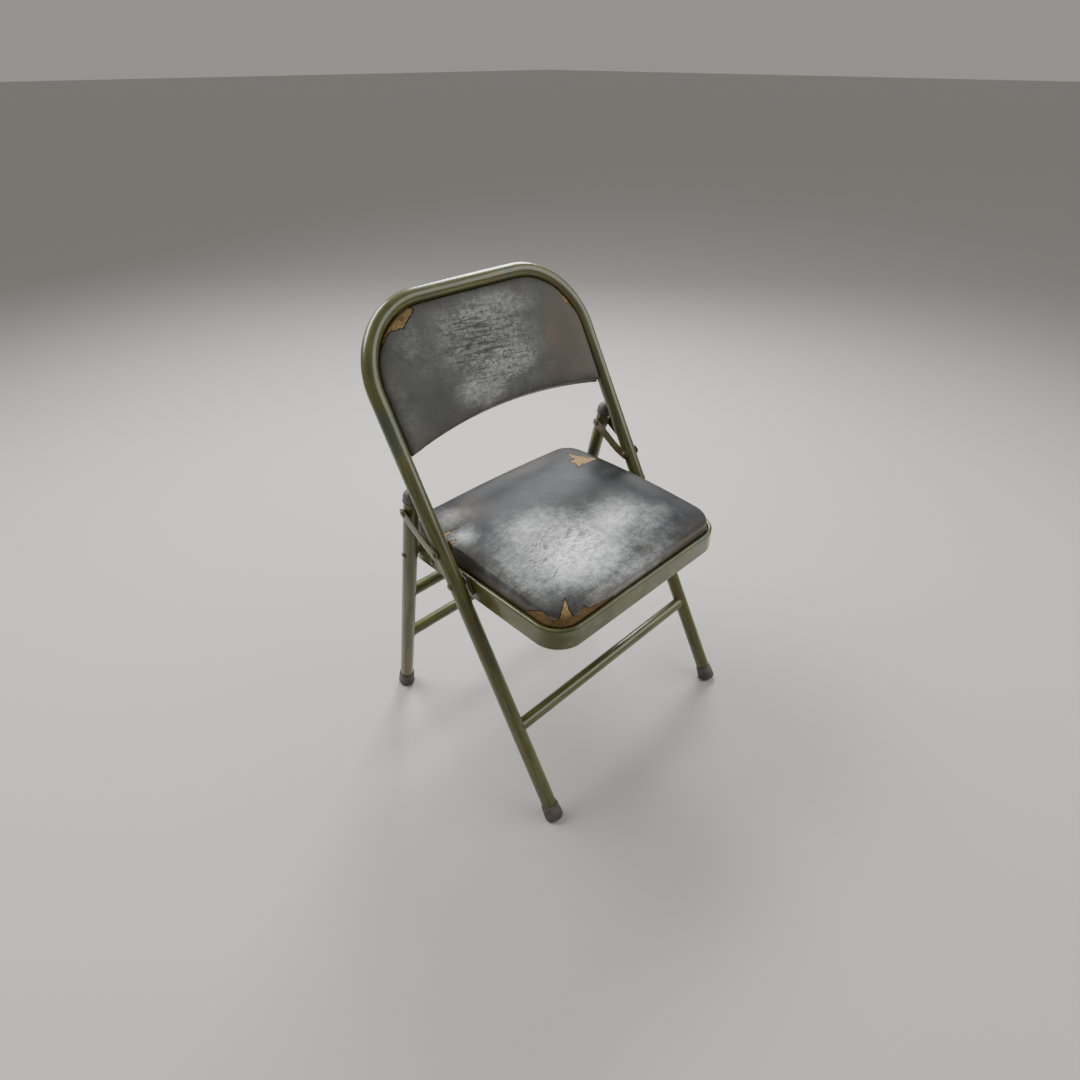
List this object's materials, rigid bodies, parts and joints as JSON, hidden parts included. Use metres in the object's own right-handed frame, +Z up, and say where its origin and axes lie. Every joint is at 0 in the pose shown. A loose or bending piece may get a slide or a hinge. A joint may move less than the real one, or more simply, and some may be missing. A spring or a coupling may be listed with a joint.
{
  "type": "folding chair",
  "caption": "Steel folding chair with padded seat and back: a bent-tube frame carries the backrest, and the seat and rear legs fold up against it on side links.",
  "frame": {"origin": "centre of the chair's box, on the floor", "axes": "+Z up; the sitter faces -Y; +X is on the right for someone who stands in front of the chair and looks at it. Left and right in the node names are meant from there."},
  "size_m": [0.4892, 0.4628, 0.7656],
  "materials": {
    "frame_paint": "satin",
    "vinyl": "satin",
    "fibreboard": "matte",
    "rubber": "matte",
    "bare_steel": "satin"
  },
  "bodies": {
    "front_frame": {"main_frame_tube": "frame_paint", "front_cross_bar": "frame_paint", "front_left_foot": "rubber", "front_right_foot": "rubber", "left_link_front_rivet": "frame_paint", "left_seat_pivot_rivet": "frame_paint", "left_seat_pivot_spacer": "bare_steel", "right_link_front_rivet": "frame_paint", "right_seat_pivot_rivet": "frame_paint", "right_seat_pivot_spacer": "bare_steel", "back_shell": "frame_paint", "back_board": "fibreboard", "back_pad": "vinyl", "back_screw_1": "bare_steel", "back_screw_2": "bare_steel", "back_screw_3": "bare_steel", "back_screw_4": "bare_steel"},
    "rear_frame": {"left_rear_leg": "frame_paint", "right_rear_leg": "frame_paint", "rear_upper_bar": "frame_paint", "rear_lower_bar": "frame_paint", "rear_left_foot": "rubber", "rear_right_foot": "rubber", "rear_left_cap": "rubber", "rear_right_cap": "rubber", "left_link_rear_rivet": "frame_paint", "left_leg_pivot_rivet": "frame_paint", "left_leg_pivot_spacer": "bare_steel", "right_link_rear_rivet": "frame_paint", "right_leg_pivot_rivet": "frame_paint", "right_leg_pivot_spacer": "bare_steel"},
    "links": {"left_outer_link": "frame_paint", "left_inner_link": "frame_paint", "right_outer_link": "frame_paint", "right_inner_link": "frame_paint"},
    "seat": {"seat_pan": "frame_paint", "seat_board": "fibreboard", "seat_pad": "vinyl", "seat_screw_1": "bare_steel", "seat_screw_2": "bare_steel", "seat_screw_3": "bare_steel", "seat_screw_4": "bare_steel", "left_seat_bracket": "frame_paint", "left_bracket_rivet_1": "frame_paint", "left_bracket_rivet_2": "frame_paint", "right_seat_bracket": "frame_paint", "right_bracket_rivet_1": "frame_paint", "right_bracket_rivet_2": "frame_paint"}
  },
  "joints": [
    {"name": "seat_fold", "type": "hinge", "parent": "front_frame", "child": "seat", "pos_m": [0, 0.00356, 0.383], "axis": [-1, 0, 0], "range_deg": [0, 103.7]},
    {"name": "link_swing", "type": "hinge", "parent": "front_frame", "child": "links", "pos_m": [0, 0.03148, 0.431], "axis": [-1, 0, 0], "range_deg": [0, 129.3]},
    {"name": "rear_leg_fold", "type": "hinge", "parent": "links", "child": "rear_frame", "pos_m": [0, 0.10499, 0.473], "axis": [-1, 0, 0], "range_deg": [-86.5, 0]}
  ],
  "couplings": [
    {"joint": "link_swing", "follows": "seat_fold", "ratio": 1.2454},
    {"joint": "rear_leg_fold", "follows": "seat_fold", "ratio": -0.83222}
  ]
}
